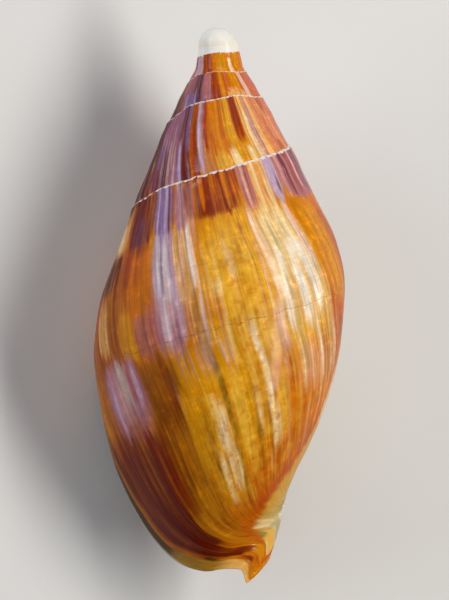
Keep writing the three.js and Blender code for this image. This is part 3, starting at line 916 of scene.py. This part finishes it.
def joined(pieces):
    """One solid out of closed pieces that overlap or touch."""
    objects = [mesh_object(f"part_{i}", *coloured(made)) for i, made in enumerate(pieces)]
    group = bpy.data.collections.new("parts")
    for other in objects[1:]:
        group.objects.link(other)
    union = objects[0].modifiers.new("union", "BOOLEAN")
    union.operation = "UNION"
    union.solver = "MANIFOLD"
    union.operand_type = "COLLECTION"
    union.collection = group
    graph = bpy.context.evaluated_depsgraph_get()
    graph.update()
    mesh = bpy.data.meshes.new_from_object(
        objects[0].evaluated_get(graph), preserve_all_data_layers=True, depsgraph=graph)
    for old in objects:
        bpy.data.objects.remove(old)
    bpy.data.collections.remove(group)
    return mesh


def keep_largest_body(mesh):
    """Welds the mesh and drops the pockets that are closed in between the whorls."""
    edit = bmesh.new()
    edit.from_mesh(mesh)
    bmesh.ops.remove_doubles(edit, verts=edit.verts, dist=WELD)
    left, bodies = set(edit.verts), []
    while left:
        body, waiting = [], [left.pop()]
        while waiting:
            vertex = waiting.pop()
            body.append(vertex)
            reached = {edge.other_vert(vertex) for edge in vertex.link_edges} & left
            left -= reached
            waiting += reached
        bodies.append(body)
    for pocket in sorted(bodies, key=len)[:-1]:
        bmesh.ops.delete(edit, geom=pocket, context="VERTS")
    edit.to_mesh(mesh)
    edit.free()


def laid_down(mesh, low, high):
    """Lays the upright shell down and fits it in the CAD's box, in metres. Gives how it was moved."""
    turned = Matrix.Rotation(math.radians(PITCH), 3, "X") @ Matrix.Rotation(math.radians(ROLL), 3, "Y")
    low, high = np.array(low), np.array(high)
    points = np.zeros(len(mesh.vertices) * 3)
    mesh.vertices.foreach_get("co", points)
    points = points.reshape(-1, 3) @ np.array(turned).T * MM
    scale = min(1.0, float(((high - low) / (points.max(0) - points.min(0))).min()))
    points = points * scale
    shift = (low + high) / 2 - (points.max(0) + points.min(0)) / 2
    shift[2] = low[2] - points[:, 2].min()
    mesh.vertices.foreach_set("co", (points + shift).ravel())
    mesh.update()
    return turned, scale, shift


# Material

class Value:
    """A number that a material's nodes work out."""

    def __init__(self, nodes, socket):
        self.nodes, self.socket = nodes, socket

    def __add__(self, other):
        return self.nodes.math("ADD", self, other)

    def __sub__(self, other):
        return self.nodes.math("SUBTRACT", self, other)

    def __rsub__(self, other):
        return self.nodes.math("SUBTRACT", other, self)

    def __mul__(self, other):
        return self.nodes.math("MULTIPLY", self, other)

    def __rpow__(self, other):
        return self.nodes.math("POWER", other, self)

    def __abs__(self):
        return self.nodes.math("ABSOLUTE", self)

    __radd__, __rmul__ = __add__, __mul__


class Nodes:
    """Small helpers over one material's node tree."""

    def __init__(self, name):
        self.material = bpy.data.materials.new(name)
        self.material.use_nodes = True
        self.tree = self.material.node_tree

    def feed(self, value, socket):
        if isinstance(value, Value):
            value = value.socket
        if isinstance(value, bpy.types.NodeSocket):
            self.tree.links.new(value, socket)
        elif socket.type == "RGBA":
            socket.default_value = (*value, 1)
        else:
            socket.default_value = value

    def node(self, kind, inputs, **settings):
        """A new node, with values or sockets for its inputs, by name or number."""
        node = self.tree.nodes.new("ShaderNode" + kind)
        for name, value in settings.items():
            setattr(node, name, value)
        for name, value in inputs.items():
            self.feed(value, node.inputs[name])
        return node

    def shade(self, inputs):
        for name, value in inputs.items():
            self.feed(value, self.tree.nodes["Principled BSDF"].inputs[name])
        return self.material

    def attribute(self, name, output="Fac"):
        return self.node("Attribute", {}, attribute_type="GEOMETRY", attribute_name=name).outputs[output]

    def math(self, operation, *values):
        return Value(self, self.node("Math", dict(enumerate(values)), operation=operation).outputs[0])

    def step(self, *values):
        """A smooth step of a value from a low to a high one, from 0 to 1 or as the last two say."""
        return Value(self, self.node(
            "MapRange", dict(enumerate(values)), interpolation_type="SMOOTHSTEP").outputs[0])

    def noise(self, vector, scale=1, detail=2, roughness=0.5):
        if isinstance(vector, tuple):
            vector = self.node("CombineXYZ", dict(enumerate(vector))).outputs[0]
        inputs = {"Vector": vector, "Scale": scale, "Detail": detail, "Roughness": roughness}
        return Value(self, self.node("TexNoise", inputs).outputs["Fac"])

    def mix(self, factor, first, second, blend="MIX"):
        inputs = {"Factor": factor, 6: first, 7: second}
        return self.node("Mix", inputs, data_type="RGBA", blend_type=blend).outputs[2]

    def scaled(self, colour, amount):
        """The colour times an amount, the same for red, green and blue."""
        return self.node("VectorMath", {0: colour, "Scale": amount}, operation="SCALE").outputs[0]


# Patterns of the shell: waves a turn along its growth and down a growth line, detail, roughness, shift
PATTERNS = {
    "hair": (900, 10, 2, 0.5, 0), "fine": (380, 9, 2.5, 0.6, 3), "broad": (130, 7, 2, 0.55, 7),
    "clouds": (24, 14, 3, 0.6, 9), "threads": (7, 260, 1, 0.5, 5), "mottle": (90, 50, 3, 0.6, 11),
    "streak": (220, 5, 2, 0.6, 13), "patches": (16, 9, 2, 0.5, 15), "blotches": (64, 26, 2, 0.5, 17),
    "stains": (84, 44, 3, 0.6, 21),
}
LINE_AMOUNTS = {"fine": 1.2, "hair": 0.6, "broad": 0.6, "threads": 0.4, "clouds": 0.7, "mottle": 0.8}
RELIEF_AMOUNTS = {"hair": 0.25, "fine": 0.5, "broad": 0.6, "threads": 0.18}
RELIEF_HEIGHT = 0.00012
CRACK_SHARE = 0.322
CRACK_WANDER = 0.03
CRACK_WIDTH = 0.0016
CRACK_COLOUR = (0.12, 0.04, 0.015)
BEAD_REACH = 0.0036
BEAD_COLOUR = (0.78, 0.70, 0.66)
BURNT = (0.72, 0.42, 0.30)
ROUGHNESS = (0.32, 0.48)
GLOSS = {"IOR": 1.5, "Specular IOR Level": 0.05, "Coat Weight": 0.2, "Coat Roughness": 0.13}


class ShellNodes(Nodes):
    """The shell's material: what its mesh tells of each spot, and the patterns and marks over it."""

    def __init__(self):
        super().__init__("shell_glaze")
        self.growth, self.share, glaze = (
            Value(self, self.attribute(name)) for name in ("growth", "share", "glaze"))
        self.dull = 1 - glaze
        self.patterns = {}
        for name, (along, down, detail, roughness, shift) in PATTERNS.items():
            spot = (self.growth * along, self.share * down, shift)
            self.patterns[name] = self.noise(spot, 1, detail, roughness)

    def summed(self, amounts, level=0):
        return sum((self.patterns[name] - level) * amount for name, amount in amounts.items())

    def lines(self):
        """Growth lines, darker and lighter, with faint spiral threads, as powers of two."""
        calm = self.step(self.growth, -0.07, 0) * self.step(self.share, 0.44, 0.5, 0, 0.5)
        lines = self.summed(LINE_AMOUNTS, 0.5) * self.step(self.patterns["patches"], 0.3, 0.65, 0.35, 1.15)
        return lines * (1 - calm) * (self.dull * 0.92 + 0.08)

    def middle(self):
        """How far each spot is in the gold middle of the last whorl's back."""
        edge = self.step(self.share, 0.37, 0.46, -0.185, -0.11)
        across = self.step(self.growth, -0.30, -0.24) * self.step(self.growth, edge, edge - 0.03)
        return across * self.step(self.share, 0.10, 0.16) * self.step(self.share, 0.72, 0.62)

    def ground(self):
        """The paint with its growth lines, mottling, yellow blotches and amber stains."""
        lines, middle = self.lines(), self.middle()
        mottle, streak = self.patterns["mottle"], self.patterns["streak"]
        colour = self.scaled(self.attribute("paint", "Color"), 2 ** lines)
        pale = self.step(mottle, 0.52, 0.72) * (self.dull * 0.45)
        colour = self.mix(pale, colour, self.scaled(colour, 1.5))
        blotches = self.step(self.patterns["blotches"], 0.40, 0.72) * middle
        colour = self.mix(blotches * 0.45, colour, linear("yellow") * 1.2)
        stains = self.step(self.patterns["stains"], 0.48, 0.66) * middle
        colour = self.mix(stains * 0.6, colour, self.scaled(linear("amber"), 2 ** lines))
        burnt = self.step(streak, 0.56, 0.70) * (self.dull * 0.4)
        return self.mix(burnt, colour, self.mix(1, colour, BURNT, "MULTIPLY"))

    def crack(self):
        """The irregular crack-like line that runs round the last whorl."""
        wander = self.noise((self.growth * 34, 2), 1, 3, 0.7)
        away = abs(self.share - ((wander - 0.5) * CRACK_WANDER + CRACK_SHARE))
        crack = self.step(away, CRACK_WIDTH, 0) * self.step(self.growth, -0.9, -0.85)
        return crack * (self.dull * self.step(self.patterns["broad"], 0.35, 0.55))

    def beads(self):
        """The white beaded edge of each suture."""
        beads = self.noise((self.growth * 110, 4), 1, 2, 0.6)
        reach = self.step(beads, 0.32, 0.68) * BEAD_REACH
        edge = self.step(self.share, reach + 0.0005, reach - 0.0015)
        return edge * (self.dull * self.step(beads, 0.34, 0.52, 0.1, 1))


def shell_material():
    n = ShellNodes()
    crack = n.crack()
    colour = n.mix(crack * 0.45, n.ground(), CRACK_COLOUR)
    height = (n.summed(RELIEF_AMOUNTS) - crack * 0.7) * (n.dull * 0.9 + 0.1)
    bump = n.node("Bump", {"Height": height, "Strength": 0.55, "Distance": RELIEF_HEIGHT})
    wear = n.patterns["broad"] * 0.6 + n.patterns["clouds"] * 0.4
    return n.shade({
        "Base Color": n.mix(n.beads() * 0.9, colour, BEAD_COLOUR), "Normal": bump.outputs[0],
        "Roughness": n.step(wear, 0.3, 0.7, *ROUGHNESS), **GLOSS,
    })


def floor_material():
    n = Nodes("pale_floor")
    grain = n.noise(n.node("TexCoord", {}).outputs["Object"], 40, 3)
    colour = n.mix(grain, (0.60, 0.595, 0.585), (0.63, 0.625, 0.615))
    return n.shade({"Base Color": colour, "Roughness": 0.75})


# Stage, lights and camera

FLOOR_SIDE = 8.0
PHOTO_MM_PER_PIXEL = 0.2158
PHOTO_SIZE = (449, 600)
PHOTO_APEX = (218.25, 27)
PHOTO_LEAN = math.atan(33.75 / 555)
CAMERA_DISTANCE = 1.6
SENSOR = 36.0
LIGHTS = (  # name, degrees right of the view, degrees towards its top, distance, size, watts, colour
    ("left_window", -50, 19, 0.9, (0.16, 1.0), 5.2, (0.90, 0.93, 1.0)),
    ("right_window", 54, 6, 0.9, (0.16, 1.0), 9.2, (1.0, 0.97, 0.92)),
    ("top_fill", 5, 50, 1.1, (0.8, 0.5), 2.0, (1.0, 0.98, 0.95)),
)


def make_floor():
    mesh = bpy.data.meshes.new("floor")
    s = FLOOR_SIDE / 2
    mesh.from_pydata([(-s, -s, 0), (s, -s, 0), (s, s, 0), (-s, s, 0)], [], [(0, 1, 2, 3)])
    mesh.materials.append(floor_material())
    added("floor", mesh)


def aim(item, side, back, spot):
    """Puts a camera or light at a spot, with its right and its back along two directions."""
    axes = Matrix((side, back.cross(side), back)).transposed().to_4x4()
    axes.translation = spot
    item.matrix_world = axes


def photo_centre(turned, scale, shift):
    x, y = ((size / 2 - apex) * PHOTO_MM_PER_PIXEL for size, apex in zip(PHOTO_SIZE, PHOTO_APEX))
    across = math.cos(PHOTO_LEAN) * x - math.sin(PHOTO_LEAN) * y
    along = math.sin(PHOTO_LEAN) * x + math.cos(PHOTO_LEAN) * y
    upright = Vector((across, ORIGIN_BELOW_APEX - along, 0)) * MM * scale
    return turned @ upright + Vector(shift)


def make_camera(turned, scale, shift):
    """Makes the camera, at the photograph's angle. Gives its right, its back and what it looks at."""
    right = turned @ Vector((math.cos(PHOTO_LEAN), -math.sin(PHOTO_LEAN), 0))
    back = turned @ Vector((0, 0, 1))
    centre = photo_centre(turned, scale, shift)
    data = bpy.data.cameras.new("camera")
    data.sensor_width = SENSOR
    data.lens = SENSOR * CAMERA_DISTANCE / (PHOTO_SIZE[1] * PHOTO_MM_PER_PIXEL * MM * scale)
    data.clip_end = 50
    camera = added("camera", data)
    aim(camera, right, back, centre + back * CAMERA_DISTANCE)
    bpy.context.scene.camera = camera
    return right, back, centre


def make_lights(right, back, centre):
    """Makes soft lights round the camera, whose second sides run upward in its view."""
    up = back.cross(right)
    for name, sideways, upward, distance, size, watts, colour in LIGHTS:
        data = bpy.data.lights.new(name, "AREA")
        data.shape = "RECTANGLE"
        data.size, data.size_y = size
        data.energy = watts
        data.color = colour
        a, b = math.radians(sideways), math.radians(upward)
        way = (right * math.sin(a) + back * math.cos(a)) * math.cos(b) + up * math.sin(b)
        aim(added(name, data), up.cross(way).normalized(), way, centre + way * distance)
    world = bpy.data.worlds.new("studio")
    world.use_nodes = True
    background = world.node_tree.nodes["Background"]
    background.inputs["Color"].default_value = (0.95, 0.96, 1.0, 1)
    background.inputs["Strength"].default_value = 0.08
    bpy.context.scene.world = world
    bpy.context.scene.view_settings.view_transform = "Standard"


def make_shell(low, high):
    """Makes the shell, laid down in a box. Gives how it was moved."""
    mesh = joined([
        *zone_stretches(), lathe("pillar", PILLAR, PILLAR_SIDES), lathe("dome", dome_profile(), DOME_SIDES),
        *(plait(depth) for depth in PLAIT_DEPTHS),
    ])
    keep_largest_body(mesh)
    moved = laid_down(mesh, low, high)
    mesh.shade_smooth()
    mesh.set_sharp_from_angle(angle=SHARP_ANGLE)
    mesh.materials.clear()
    mesh.materials.append(shell_material())
    shell = added("shell", mesh)
    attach(shell, "root")
    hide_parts("volute_shell")
    return moved


def main():
    for old in list(bpy.data.objects):
        bpy.data.objects.remove(old)
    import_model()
    moved = make_shell(*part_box("volute_shell"))
    make_floor()
    make_lights(*make_camera(*moved))


main()
